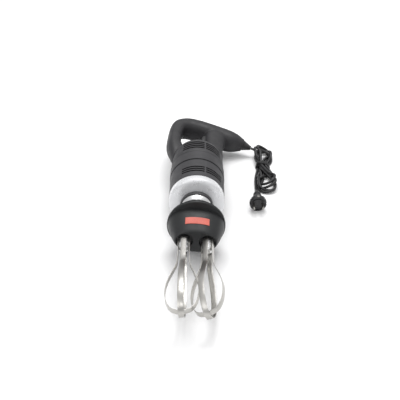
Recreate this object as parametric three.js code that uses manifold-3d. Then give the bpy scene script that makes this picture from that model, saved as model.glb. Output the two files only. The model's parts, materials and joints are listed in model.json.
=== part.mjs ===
// Commercial hand mixer: a power unit with a D-shaped grip and a detachable twin-whisk gearbox,
// lying on a counter with its mains cord wound in a hank beside it. Millimetres, +Z up.
// The mixer's long axis runs along Y, with the whisks towards -Y and the grip towards +Y.
import * as THREE from 'three';
import { mergeVertices } from 'three/addons/utils/BufferGeometryUtils.js';
import Module from 'manifold-3d';

const wasm = await Module();
wasm.setup();

// ---- driving dimensions -------------------------------------------------------------------
const AXIS_Z = 57.2;            // height of the mixer axis above the counter
const BODY_ROLL = 15;           // degrees the power unit lies rolled about its axis
const HEAD_ROLL = 5;            // degrees the whisk gearbox lies rolled
const CASE_R = 58.3;            // outer radius of the motor casing
const BAND_R = 59.2;            // raised middle band of the casing
const GROOVE_R = 56.8;          // floor of the grooves beside the band
const CASE_IN = 53.6;           // inner radius of the casing
const CASE_FRONT = -80, CASE_REAR = 78;
const COLLAR_R = 34.2, SLEEVE_R = 29;
const RIM_R = 58;               // rim of the gearbox
const RIM_Y = -173.1;           // rear plane of the gearbox nose
const NOSE_Y = -228;            // front face of the gearbox nose
const WHISK_CD = 44.8;          // distance between the two whisk axes
const WHISK_X = WHISK_CD / 2;
const RECESS_R = 16, RECESS_Y = -222;
const STRIP_W = 10.5, STRIP_T = 1.2;   // whisk wire strip
const STEM_R = 10.8;            // radius of the strips' centre surface at the stem
const PHASE_L = 9, PHASE_R = 27.5;     // whisk angles about their own axes, in degrees
const GRIP_WALL = 3;
const CORD_R = 3;
const TAIL = [112, 201];        // end of the grip's tail, where the strain relief starts
const GAP = 0.3;
const V3 = THREE.Vector3;

// ---- helpers --------------------------------------------------------------------------------
function clean(geometry) {
  let g = geometry.clone();
  for (const name of Object.keys(g.attributes)) if (name !== 'position') g.deleteAttribute(name);
  g = mergeVertices(g, 1e-3);
  const src = g.index.array, p = g.attributes.position.array, tri = [];
  for (let i = 0; i < src.length; i += 3) {
    const [a, b, c] = [src[i], src[i + 1], src[i + 2]];
    if (a !== b && b !== c && a !== c) tri.push(a, b, c);
  }
  let vol = 0;
  for (let i = 0; i < tri.length; i += 3) {
    const [a, b, c] = [tri[i] * 3, tri[i + 1] * 3, tri[i + 2] * 3];
    vol += p[a] * (p[b + 1] * p[c + 2] - p[b + 2] * p[c + 1])
         + p[a + 1] * (p[b + 2] * p[c] - p[b] * p[c + 2])
         + p[a + 2] * (p[b] * p[c + 1] - p[b + 1] * p[c]);
  }
  if (vol < 0) for (let i = 0; i < tri.length; i += 3) [tri[i + 1], tri[i + 2]] = [tri[i + 2], tri[i + 1]];
  g.setIndex(tri);
  return g;
}

function solid(geometry) {
  const g = clean(geometry);
  return new wasm.Manifold(new wasm.Mesh({
    numProp: 3,
    vertProperties: new Float32Array(g.attributes.position.array),
    triVerts: new Uint32Array(g.index.array),
  }));
}

function geometryOf(manifold) {
  const m = manifold.getMesh();
  const g = new THREE.BufferGeometry();
  g.setAttribute('position', new THREE.BufferAttribute(new Float32Array(m.vertProperties), 3));
  g.setIndex(Array.from(m.triVerts));
  return g;
}

function box(x0, x1, y0, y1, z0, z1) {
  const g = new THREE.BoxGeometry(x1 - x0, y1 - y0, z1 - z0);
  g.translate((x0 + x1) / 2, (y0 + y1) / 2, (z0 + z1) / 2);
  return g;
}

// closed profile of [radius, y] turned about the Y axis
function turned(profile, seg = 32) {
  const pts = profile.map(([r, y]) => new THREE.Vector2(r, y));
  const first = profile[0], last = profile[profile.length - 1];
  if (!(first[0] === 0 && last[0] === 0)) pts.push(pts[0].clone());
  return new THREE.LatheGeometry(pts, seg);
}

const ring = (r0, r1, y0, y1, seg = 24) => turned([[r0, y0], [r1, y0], [r1, y1], [r0, y1]], seg);
const rod = (r, y0, y1, seg = 12) => turned([[0, y0], [r, y0], [r, y1], [0, y1]], seg);

function rodZ(r, x, y, z0, z1, seg = 10) {
  const g = new THREE.CylinderGeometry(r, r, z1 - z0, seg);
  g.rotateX(Math.PI / 2);
  g.translate(x, y, (z0 + z1) / 2);
  return g;
}

const rad = (d) => d * Math.PI / 180;
const spow = (v, p) => Math.sign(v) * Math.pow(Math.abs(v), p);

// lofted body through sections {c, a, b, ra, rb}: centre, two unit axes and two radii
function loft(sections, seg, power) {
  const rows = sections.length - 1;
  const g = new THREE.CylinderGeometry(1, 1, 1, seg, rows, false);
  const pos = g.attributes.position;
  for (let i = 0; i < pos.count; i++) {
    const row = Math.round((0.5 - pos.getY(i)) * rows);
    const r = Math.hypot(pos.getX(i), pos.getZ(i));
    const t = Math.atan2(pos.getX(i), pos.getZ(i));
    const s = sections[row];
    const e = 2 / power;
    const p = s.c.clone()
      .addScaledVector(s.a, r > 0.5 ? s.ra * spow(Math.cos(t), e) : 0)
      .addScaledVector(s.b, r > 0.5 ? s.rb * spow(Math.sin(t), e) : 0);
    pos.setXYZ(i, p.x, p.y, p.z);
  }
  return g;
}

// grip loft: stations [u, y, half width in the grip plane, half thickness]
function gripLoft(stations, inset, seg = 14, endPull = 0) {
  const curve = new THREE.CatmullRomCurve3(stations.map(([u, y]) => new V3(u, y, 0)), false, 'centripetal');
  const n = stations.length;
  const sections = stations.map(([u, y, rp, rn], i) => {
    const t = curve.getTangent(i / (n - 1));
    const c = new V3(u, y, 0);
    if (i === 0) c.addScaledVector(t, endPull);
    if (i === n - 1) c.addScaledVector(t, -endPull);
    return { c, a: new V3(t.y, -t.x, 0), b: new V3(0, 0, 1), ra: rp - inset, rb: rn - inset };
  });
  return loft(sections, seg, 2.7);
}

// oval loft along the axis: stations [y, half width, half height]
function ovalLoft(stations, grow = 0, seg = 26, power = 2.25) {
  return loft(stations.map(([y, a, b]) => ({
    c: new V3(0, y, 0), a: new V3(1, 0, 0), b: new V3(0, 0, 1), ra: a + grow, rb: b + grow,
  })), seg, power);
}

function extrudeZ(points, z0, z1, bevel = 0) {
  const shape = new THREE.Shape(points.map(([x, y]) => new THREE.Vector2(x, y)));
  const g = new THREE.ExtrudeGeometry(shape, {
    depth: z1 - z0 - 2 * bevel, steps: 1, bevelEnabled: bevel > 0, bevelThickness: bevel,
    bevelSize: bevel, bevelOffset: -bevel, bevelSegments: 1,
  });
  g.translate(0, 0, z0 + bevel);
  return g;
}

function tube(points, radius, sides, steps) {
  const shape = new THREE.Shape();
  for (let i = 0; i < sides; i++) {
    const a = 2 * Math.PI * i / sides;
    if (i === 0) shape.moveTo(radius * Math.cos(a), radius * Math.sin(a));
    else shape.lineTo(radius * Math.cos(a), radius * Math.sin(a));
  }
  shape.closePath();
  const path = new THREE.CatmullRomCurve3(points.map((p) => new V3(...p)), false, 'centripetal');
  return new THREE.ExtrudeGeometry(shape, { steps, extrudePath: path, bevelEnabled: false });
}

// toothed wheel about the Y axis
function gear(teeth, module_, y0, y1, boreR, turn = 0, seg = 12) {
  const pitch = teeth * module_ / 2, tip = pitch + 0.82 * module_, root = pitch - 1.15 * module_;
  const step = 2 * Math.PI / teeth, shape = new THREE.Shape();
  for (let i = 0; i < teeth; i++) {
    const a = i * step + rad(turn);
    const edge = [[root, -0.30], [tip, -0.12], [tip, 0.12], [root, 0.30]];
    edge.forEach(([r, f], k) => {
      const x = r * Math.cos(a + f * step), z = r * Math.sin(a + f * step);
      if (i === 0 && k === 0) shape.moveTo(x, z); else shape.lineTo(x, z);
    });
  }
  shape.closePath();
  const bore = new THREE.Path();
  bore.absarc(0, 0, boreR, 0, 2 * Math.PI, true);
  shape.holes.push(bore);
  const g = new THREE.ExtrudeGeometry(shape, { depth: y1 - y0, steps: 1, bevelEnabled: false, curveSegments: seg });
  g.rotateX(Math.PI / 2);      // shape plane becomes XZ, depth runs down -Y
  g.translate(0, y1, 0);
  return g;
}

const MAT = {
  black: [0x3a383b, 0.62, 0.0], blackRib: [0x2f2e31, 0.6, 0.0], darkGrey: [0x4c5152, 0.42, 0.0],
  alu: [0xd9dadd, 0.3, 1.0], steel: [0xc9c9cb, 0.22, 1.0], strip: [0xcfcdc9, 0.26, 1.0],
  collar: [0x454548, 0.5, 0.0], red: [0xe0584f, 0.5, 0.0], copper: [0xb86a3a, 0.4, 1.0],
  lamination: [0x8a8c90, 0.5, 1.0], gearSteel: [0xa6a8ab, 0.35, 1.0], seal: [0x232325, 0.8, 0.0],
  board: [0x2f6b46, 0.6, 0.0], carbon: [0x3a3a3c, 0.7, 0.0], brass: [0xc9a24a, 0.35, 1.0],
  trigger: [0x2b2a2d, 0.5, 0.0], cord: [0x2c2b2e, 0.55, 0.0], polymer: [0xe6e2d6, 0.6, 0.0],
};

function mesh(name, shape, material, parent, transform) {
  const geometry = shape.isBufferGeometry ? clean(shape) : geometryOf(shape);
  const [color, roughness, metalness] = MAT[material];
  const m = new THREE.Mesh(geometry, new THREE.MeshStandardMaterial({ color, roughness, metalness }));
  m.name = name;
  if (transform) transform(m);
  parent.add(m);
  return m;
}

const group = new THREE.Group();
const body = new THREE.Group();          // power unit: u = x, axis = y, normal of the grip plane = z
body.position.set(0, 0, AXIS_Z);
body.rotation.y = rad(BODY_ROLL);
const head = new THREE.Group();          // whisk gearbox
head.position.set(0, 0, AXIS_Z);
head.rotation.y = rad(HEAD_ROLL);
group.add(body, head);

// everything below the counter, written in the frame of a rolled group
function underCounter(y0, y1, roll) {
  const g = box(-90, 90, y0, y1, -80, 0);
  g.translate(0, 0, -AXIS_Z);
  g.rotateY(-rad(roll));
  return solid(g);
}

// ---- power unit: casing ------------------------------------------------------------------------
let casing = solid(turned([
  [CASE_IN, CASE_FRONT], [CASE_R, CASE_FRONT], [CASE_R, -15.6], [GROOVE_R, -14.6], [GROOVE_R, -13.4],
  [BAND_R, -12.2], [BAND_R, 18.2], [GROOVE_R, 19.4], [GROOVE_R, 20.6], [58, 21.8], [57.4, 66],
  [54.2, 75.2], [50.6, CASE_REAR], [46.5, CASE_REAR], [46.5, 74.4], [CASE_IN, 70],
], 36));
const VENT_ROWS = [-61, -53, -45, 37, 45, 53, 61];
const VENT_SPANS = [[-48, -31], [-29, 2], [4, 24], [26, 46]];
const slots = [];
for (const y of VENT_ROWS) for (const [a0, a1] of VENT_SPANS) {
  const w = 2 * 55.5 * Math.sin(rad((a1 - a0) / 2));
  const g = box(-w / 2, w / 2, y - 2, y + 2, 46, 64);
  g.rotateY(rad((a0 + a1) / 2));
  slots.push(solid(g));
}
casing = casing.subtract(wasm.Manifold.union(slots)).subtract(underCounter(-90, 90, BODY_ROLL));
mesh('motor_casing', casing, 'black', body);

mesh('front_housing', solid(turned([
  [58.1, -80.3], [58.1, -94.6], [56.4, -97.6], [51, -99.8], [42, -101.6], [34, -102.6], [13.3, -102.6], [13.3, -91],
  [17, -91], [17, -98.4], [CASE_IN, -94.4], [CASE_IN, -80.3],
], 32)).subtract(underCounter(-110, -70, BODY_ROLL)), 'alu', body);
mesh('locking_collar', turned([[22, -102.9], [COLLAR_R, -102.9], [COLLAR_R, -110.8], [33, -112], [22, -112]], 26), 'collar', body);
mesh('coupling_sleeve', turned([[21.5, -112.3], [31.4, -112.3], [SLEEVE_R, -118], [SLEEVE_R, -130.7], [21.5, -130.7]], 26), 'steel', body);

// ---- power unit: grip --------------------------------------------------------------------------
const LOOP = [
  [-42.5, 48, 15.6, 12], [-43.6, 60, 18, 14.6], [-44.6, 72, 20.4, 17], [-46.4, 84, 21.6, 18.8],
  [-52.6, 98, 18.6, 20.8], [-57.2, 116, 16.4, 22.2], [-58, 137, 15.6, 22.6], [-57, 158, 15.6, 22.8],
  [-54.5, 181, 16.4, 23.4], [-46.8, 204, 18.6, 24.6], [-28, 217.2, 21, 25.6], [-3, 219.3, 21.8, 26], [22, 216, 22, 26],
  [47, 210.8, 22.4, 26], [79, 204, 22.6, 25], [96, 202.6, 19, 21.4], [TAIL[0], TAIL[1] - 0.6, 13.7, 14.4],
];
const STRUT = [
  [34, 78.6, 23.6, 24], [35.6, 100, 23, 23.8], [36.4, 125, 22.4, 23.4], [37.4, 150, 23.2, 23.4], [40, 174, 26, 24], [44, 198, 29, 24],
];
// the leg's root runs forward along the casing, so the casing's outline is taken out of the grip
const casingOutline = solid(turned([
  [0, 30], [58.6, 30], [58.2, 50], [57.8, 66], [54.6, 75.4], [51, CASE_REAR + GAP], [0, CASE_REAR + GAP],
], 36));
let gripOuter = solid(gripLoft(LOOP, 0)).add(solid(gripLoft(STRUT, 0)))
  .add(solid(turned([[0, 78.4], [52.6, 78.4], [52.6, 80.8], [49.5, 84.4], [0, 84.4]], 28)))
  .subtract(casingOutline);
const gripInner = solid(gripLoft(LOOP.slice(4), GRIP_WALL, 10, 7)).add(solid(gripLoft(STRUT, GRIP_WALL, 10, 7)));
const POSTS = [[-58, 118], [-36, 213.5], [64, 207.5]];
let grip = gripOuter.subtract(gripInner);
for (const [u, y] of POSTS) grip = grip.add(solid(rodZ(5.4, u, y, -27, 27)).intersect(gripOuter));
for (const [u, y] of POSTS) {
  grip = grip.subtract(solid(rodZ(1.9, u, y, -26, 12, 8))).subtract(solid(rodZ(3.9, u, y, -30, -15)));
}
grip = grip
  .subtract(solid(box(-8, 26, 106.5, 182, -12.2, 12.2)))                           // trigger window
  .subtract(solid(rod(7, 228, 250, 16).translate(28, 0, 0)))                        // lock button hole
  .subtract(solid(box(-6, 8, -26, 26, -8, 8).translate(32, 81, 0)))                 // wire way to the motor
  .subtract(solid(turned([[0, -20], [8.6, -20], [8.6, 20], [0, 20]], 14).rotateZ(-Math.PI / 2 - rad(14.2)).translate(...TAIL, 0)));
mesh('handle_shell_upper', grip.intersect(solid(box(-90, 140, 40, 260, 0.15, 40))), 'black', body);
mesh('handle_shell_lower', grip.intersect(solid(box(-90, 140, 40, 260, -40, -0.15))), 'black', body);
POSTS.forEach(([u, y], i) => mesh(`handle_screw_${i + 1}`,
  solid(rodZ(3.5, u, y, -18.4, -15.2)).add(solid(rodZ(1.6, u, y, -16, 8, 8))), 'steel', body));

mesh('trigger', extrudeZ([
  [8.5, 109], [6, 116], [5, 128], [5, 162], [6.5, 174], [9.5, 181], [20, 181], [22, 178], [22, 114], [19, 109],
], -11.5, 11.5, 1.5), 'trigger', body);
mesh('switch_module', solid(box(30.4, 41, 112, 138, -8, 8)).add(solid(box(28.6, 31, 118, 124, -3, 3))), 'seal', body);
mesh('trigger_return_spring', extrudeZ([
  [22.5, 144], [23.3, 144], [29.2, 152], [29.2, 158], [23.3, 166], [22.5, 166], [28.2, 157.6], [28.2, 152.4],
], -5, 5), 'steel', body);
mesh('lock_button', turned([[0, 225], [8.4, 225], [8.4, 227.4], [6.5, 227.6], [6.5, 239.8], [5.2, 241], [0, 241]], 16).translate(28, 0, 0), 'trigger', body);
const coil = [];
for (let i = 0; i <= 24; i++) coil.push([28 + 4.6 * Math.cos(i * Math.PI / 4), 209.6 + 14.3 * i / 24, 4.6 * Math.sin(i * Math.PI / 4)]);
mesh('lock_button_spring', tube(coil, 0.6, 4, 24), 'steel', body);

// strain relief boot at the end of the grip's tail
const bootDir = new V3(21.7, -5.5, 0).normalize();
const bootAt = (s, r) => ({
  c: new V3(...TAIL, 0).addScaledVector(bootDir, s), a: new V3(-bootDir.y, bootDir.x, 0), b: new V3(0, 0, 1), ra: r, rb: r,
});
mesh('cord_strain_relief', loft([bootAt(-11, 8.2), bootAt(2.1, 8.2), bootAt(2.3, 12.4), bootAt(6.5, 11.2), bootAt(11, 9.3), bootAt(16, 7.4), bootAt(23, 4.8)], 16, 2), 'cord', body);

// ---- power unit: motor ---------------------------------------------------------------------------
mesh('stator_core', ring(30.6, 47, -60, -12, 28), 'lamination', body);
mesh('field_coil_front', ring(33, 44, -71, -60.3, 20), 'copper', body);
mesh('field_coil_rear', ring(33, 44, -11.7, -1, 20), 'copper', body);
mesh('motor_shaft', turned([[0, -118], [4, -118], [4, -104], [6, -104], [6, -62], [9, -62], [9, 26], [6, 26], [6, 50], [0, 50]], 16), 'steel', body);
{
  const shape = new THREE.Shape(), n = 12, st = 2 * Math.PI / n;
  for (let i = 0; i < n; i++) for (const [r, f] of [[29.8, -0.36], [29.8, 0.36], [20, 0.40], [20, 0.60]]) {
    const a = (i + f) * st;
    if (i === 0 && f === -0.36) shape.moveTo(r * Math.cos(a), r * Math.sin(a)); else shape.lineTo(r * Math.cos(a), r * Math.sin(a));
  }
  shape.closePath();
  const hole = new THREE.Path();
  hole.absarc(0, 0, 9.3, 0, 2 * Math.PI, true);
  shape.holes.push(hole);
  mesh('rotor_core', new THREE.ExtrudeGeometry(shape, { depth: 48, bevelEnabled: false, curveSegments: 10 }).rotateX(Math.PI / 2).translate(0, -12, 0), 'lamination', body);
}
mesh('commutator', ring(9.3, 17, 5, 24, 24), 'copper', body);
let fan = solid(ring(6.3, 15, -88, -76, 16)).add(solid(ring(14, 41, -77.4, -76, 20)));
for (let i = 0; i < 7; i++) fan = fan.add(solid(box(13.5, 40.5, -88, -76.5, -0.8, 0.8).rotateY(i * 2 * Math.PI / 7)));
mesh('cooling_fan', fan, 'polymer', body);
mesh('front_motor_bearing', ring(6.3, 13, -100.6, -92, 20), 'steel', body);
mesh('rear_motor_bearing', ring(6.3, 12.7, 36, 44, 20), 'steel', body);
let plate = solid(turned([[13, 34.5], [17, 34.5], [17, 38], [53.2, 38], [53.2, 42], [17, 42], [17, 45.5], [13, 45.5]], 24));
for (let i = 0; i < 4; i++) plate = plate.subtract(solid(box(24, 44, 36, 44, -11, 11).rotateY(Math.PI / 4 + i * Math.PI / 2)));
mesh('rear_bearing_plate', plate, 'alu', body);
for (const [side, s] of [['left', -1], ['right', 1]]) {
  const holder = solid(box(20, 46, 7.5, 21.5, -5.5, 5.5)).subtract(solid(box(18, 43, 10, 19, -3.3, 3.3)));
  mesh(`brush_holder_${side}`, geometryOf(holder).rotateY(s < 0 ? Math.PI : 0), 'brass', body);
  mesh(`carbon_brush_${side}`, box(17.3, 33, 10.3, 18.7, -3, 3).rotateY(s < 0 ? Math.PI : 0), 'carbon', body);
}
mesh('control_board', solid(rod(41, 52, 53.6, 24)).add(solid(box(-26, -6, 53, 62, -24, -8))).add(solid(rod(6, 53, 66, 12).translate(14, 0, -18))), 'board', body);
const hexSocket = new THREE.CylinderGeometry(6.5, 6.5, 14, 6).translate(0, -127, 0);
mesh('drive_coupling', solid(ring(4.3, 12, -121, -105, 14)).add(solid(rod(12, -133, -119.5, 14)).subtract(solid(hexSocket))), 'gearSteel', body);

// ---- whisk gearbox -------------------------------------------------------------------------------
mesh('gearbox_rear_cone', turned([
  [14, -119], [21.2, -119], [21.2, -131], [31.6, -131], [34.6, -132.8], [57.6, -170.8], [57.6, -171.8], [53.8, -171.8], [30, -139], [14, -139],
], 30), 'darkGrey', head);
mesh('gearbox_gasket', ring(54.2, 57.2, -172.8, -172.1, 26), 'seal', head);
const NOSE = [[-175, 57.2, 42], [-190, 53.6, 38.2], [-208, 48.4, 32.6], [-222.5, 43.2, 27], [-226.6, 41.7, 25.4], [NOSE_Y, 39.9, 23.6]];
let nose = solid(turned([[0, RIM_Y], [RIM_R, RIM_Y], [RIM_R, -176.6], [57.4, -177.2], [0, -177.2]], 40))
  .add(solid(ovalLoft(NOSE)))
  .subtract(solid(ovalLoft([[-170, 55.2, 39.8], [-190, 50.4, 35], [-206, 45.6, 29.8], [-214, 42.4, 26.4]], 0, 18)));
for (const s of [-1, 1]) {
  nose = nose.subtract(solid(rod(RECESS_R, -240, RECESS_Y, 22).translate(s * WHISK_X, 0, 0)))
    .subtract(solid(rod(8.3, -220.4, -200, 14).translate(s * WHISK_X, 0, 0)))
    .subtract(solid(rod(6, -230, -210, 10).translate(s * WHISK_X, 0, 0)));
}
nose = nose.subtract(underCounter(-180, -160, HEAD_ROLL));
mesh('gearbox_nose', nose, 'darkGrey', head);
const cover = solid(ovalLoft(NOSE, 1.1, 40)).subtract(solid(ovalLoft(NOSE, 0.3, 40)))
  .intersect(solid(box(-23.4, 23.4, -212.4, -198, 10, 60)));
mesh('label_plate', cover, 'red', head);
let carrier = solid(ovalLoft([[-173.5, 52.6, 37.4], [-175.8, 52.6, 37.4]], 0, 24));
for (const x of [-WHISK_X, WHISK_X]) carrier = carrier.subtract(solid(rod(4.3, -180, -170, 12).translate(x, 0, 0)));
carrier = carrier.subtract(solid(rod(4.3, -180, -170, 12)));
mesh('gear_carrier_plate', carrier, 'gearSteel', head);
const hex = new THREE.CylinderGeometry(6.1, 6.1, 13, 6).translate(0, -127.5, 0).rotateY(rad(BODY_ROLL - HEAD_ROLL));
mesh('input_shaft', solid(turned([[0, -133.3], [6, -133.3], [6, -139], [4, -139], [4, -186], [0, -186]], 14)).add(solid(hex)), 'steel', head);
mesh('input_bearing', ring(6.3, 13.7, -138.6, -133.4, 20), 'steel', head);
mesh('pinion_gear', gear(10, 1.4, -184, -178, 4.5, 0, 5), 'gearSteel', head);
mesh('reduction_gear', gear(22, 1.4, -184, -178, 4.5, 180 / 22, 5), 'gearSteel', head, (m) => { m.position.x = -WHISK_X; });
mesh('sync_gear_left', gear(20, 2.24, -196, -188, 4.5, 0, 5), 'gearSteel', head, (m) => { m.position.x = -WHISK_X; });
mesh('sync_gear_right', gear(20, 2.24, -196, -188, 4.5, 9, 5), 'gearSteel', head, (m) => { m.position.x = WHISK_X; });

// ---- whisks --------------------------------------------------------------------------------------
function stripLoop(tip) {
  // half profile [distance from the whisk axis, y], from the stem to the tip
  const half = [[STEM_R, -224.6], [STEM_R, -255], [11.1, -288], [12.5, -299], [19, -320], [26, -343], [29.4, -362], [29.4, -382], [25.6, -402], [17.5, -416.4], [8.6, tip + 2.6], [0, tip]];
  const line = half.map(([w, y]) => new THREE.Vector2(w, y));
  for (let i = half.length - 2; i >= 0; i--) line.push(new THREE.Vector2(-half[i][0], half[i][1]));
  const side = (sgn) => line.map((p, i) => {
    const a = line[Math.max(i - 1, 0)], b = line[Math.min(i + 1, line.length - 1)];
    const t = b.clone().sub(a).normalize();
    return [p.x - sgn * t.y * STRIP_T / 2, p.y + sgn * t.x * STRIP_T / 2];
  });
  return extrudeZ([...side(1), ...side(-1).reverse()], -STRIP_W / 2, STRIP_W / 2);
}
for (const [side, s, phase] of [['left', -1, PHASE_L], ['right', 1, PHASE_R]]) {
  const at = (m) => { m.position.x = s * WHISK_X; };
  mesh(`spindle_${side}`, rod(4, -232.4, -173.8, 14), 'steel', head, at);
  mesh(`spindle_bearing_${side}`, ring(4.3, 8, -220, -214.4, 16), 'steel', head, at);
  mesh(`shaft_seal_${side}`, ring(4.3, 9.6, -223.8, -222.3, 16), 'seal', head, at);
  mesh(`whisk_hub_${side}`, solid(turned([[0, -256], [6.4, -256], [9.8, -252], [9.8, -225], [0, -225]], 18)).subtract(solid(rod(4.3, -233, -220, 14))), 'steel', head, at);
  const whisk = new THREE.Group();
  whisk.position.x = s * WHISK_X;
  whisk.rotation.y = -rad(phase);
  head.add(whisk);
  mesh(`whisk_${side}_outer_loop`, stripLoop(-427), 'strip', whisk, (m) => { m.rotation.y = Math.PI / 2; });
  mesh(`whisk_${side}_inner_loop`, stripLoop(-423.4), 'strip', whisk);
}

// ---- mains cord, in the frame of the counter ------------------------------------------------------
const cr = Math.cos(rad(BODY_ROLL)), sr = Math.sin(rad(BODY_ROLL));
const onBoot = (s) => {
  const p = new V3(...TAIL, 0).addScaledVector(bootDir, s);
  return [p.x * cr, p.y, AXIS_Z - p.x * sr];
};
const HANK = { x0: 138.4, x1: 181.6, y0: 22, y1: 222, h: 27 };
const [ex, ey, ez] = onBoot(23 + GAP);
mesh('cord_lead', tube([[ex, ey, ez], onBoot(26), [HANK.x0 - 2.4, 191.6, 19.4]], CORD_R, 8, 3), 'cord', group);
{
  const shape = new THREE.Shape(), r = (HANK.x1 - HANK.x0) / 2, cx = (HANK.x0 + HANK.x1) / 2, n = 8;
  for (let i = 0; i <= n; i++) { const a = -Math.PI + Math.PI * i / n; const x = cx + r * Math.cos(a), y = HANK.y0 + r + r * Math.sin(a); if (i === 0) shape.moveTo(x, y); else shape.lineTo(x, y); }
  for (let i = 0; i <= n; i++) { const a = Math.PI * i / n; shape.lineTo(cx + r * Math.cos(a), HANK.y1 - r + r * Math.sin(a)); }
  shape.closePath();
  mesh('cord_hank', new THREE.ExtrudeGeometry(shape, { depth: HANK.h - 0.2, bevelEnabled: false }).translate(0, 0, 0.2), 'cord', group);
}
const PLUG = { x: 133, z: 18.7, face: -43, rear: -2 };
mesh('cord_plug_lead', tube([
  [PLUG.x, PLUG.rear + 0.6, PLUG.z], [PLUG.x, PLUG.rear + 5, PLUG.z - 0.1], [PLUG.x + 0.2, 14, 15.4], [134, 31, 7.4], [134.6, 47, 3.7], [134.9, 66, 3.2], [135, 104, 3.2], [135, 128, 3.2],
], CORD_R, 8, 14), 'cord', group);
mesh('plug_body', turned([[0, PLUG.face], [17.6, PLUG.face], [18.5, -42], [18.5, -34.5], [17, -31.5], [11, -24], [8, -18.5], [6.6, PLUG.rear], [0, PLUG.rear]], 18), 'cord', group, (m) => m.position.set(PLUG.x, 0, PLUG.z));
for (const [side, s] of [['left', -1], ['right', 1]]) {
  mesh(`plug_pin_${side}`, rod(2.4, -62, PLUG.face - GAP, 10), 'brass', group, (m) => m.position.set(PLUG.x + s * 9.5, 0, PLUG.z));
}

// ---- origin: centre of the mixer's footprint on the counter, cord left out --------------------------
group.updateMatrixWorld(true);
const extent = new THREE.Box3();
group.traverse((m) => { if (m.isMesh && !/^(cord_lead|cord_hank|cord_plug_lead|plug_)/.test(m.name)) extent.union(new THREE.Box3().setFromObject(m, true)); });
const shiftX = -(extent.min.x + extent.max.x) / 2, shiftY = -(extent.min.y + extent.max.y) / 2;
const root = new THREE.Group();
root.position.set(shiftX, shiftY, 0);
root.add(group);
root.updateMatrixWorld(true);

export default root;
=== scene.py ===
import json
import math
import bpy
import bmesh
import numpy as np
from mathutils import Matrix, Vector


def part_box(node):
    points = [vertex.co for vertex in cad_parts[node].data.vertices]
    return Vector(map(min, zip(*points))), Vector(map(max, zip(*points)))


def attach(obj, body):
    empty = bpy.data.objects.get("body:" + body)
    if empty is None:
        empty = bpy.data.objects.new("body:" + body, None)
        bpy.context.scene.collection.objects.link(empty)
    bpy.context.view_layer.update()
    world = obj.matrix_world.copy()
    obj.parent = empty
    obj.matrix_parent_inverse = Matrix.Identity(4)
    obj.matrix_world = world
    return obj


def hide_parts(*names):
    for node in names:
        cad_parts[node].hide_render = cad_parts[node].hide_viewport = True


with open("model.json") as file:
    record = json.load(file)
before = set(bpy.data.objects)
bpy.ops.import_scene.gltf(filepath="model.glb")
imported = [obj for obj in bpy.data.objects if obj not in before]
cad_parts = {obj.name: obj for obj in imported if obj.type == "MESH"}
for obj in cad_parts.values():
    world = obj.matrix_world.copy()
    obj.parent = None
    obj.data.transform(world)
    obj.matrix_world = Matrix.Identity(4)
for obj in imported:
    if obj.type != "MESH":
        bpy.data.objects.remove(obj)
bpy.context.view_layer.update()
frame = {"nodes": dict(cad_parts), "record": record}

scene = bpy.context.scene
MM = 0.001

# ------------------------------------------------------------------ frames
_lo, _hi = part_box("motor_casing")
SX = (_lo[0] + _hi[0]) / 2                 # mixer axis in the row frame
SY = _hi[1] - 0.078                        # the casing's rear rim is at +78 mm on the axis
AXIS_Z = 0.0572
SCALE = Matrix.Scale(MM, 4)
WORLD = Matrix.Translation((SX, SY, 0)) @ SCALE
BODY = Matrix.Translation((SX, SY, AXIS_Z)) @ Matrix.Rotation(math.radians(15), 4, "Y") @ SCALE
HEAD = Matrix.Translation((SX, SY, AXIS_Z)) @ Matrix.Rotation(math.radians(5), 4, "Y") @ SCALE


def at(matrix, x, y, z):
    return matrix @ Vector((x, y, z))


# ------------------------------------------------------------------ camera
EL, AZ, DIST = math.radians(34), math.radians(0.4), 1.5
target = Vector((SX + 0.0063, SY, 0))
back = Vector((math.sin(AZ) * math.cos(EL), -math.cos(AZ) * math.cos(EL), math.sin(EL)))
cam_data = bpy.data.cameras.new("camera")
cam_data.sensor_width = 36
cam_data.lens = 669 / 400 * 36
cam_data.clip_end = 50
cam = bpy.data.objects.new("camera", cam_data)
cam.location = target + back * DIST
cam.rotation_euler = (-back).to_track_quat("-Z", "Y").to_euler()
scene.collection.objects.link(cam)
scene.camera = cam

# ------------------------------------------------------------------ materials


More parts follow.
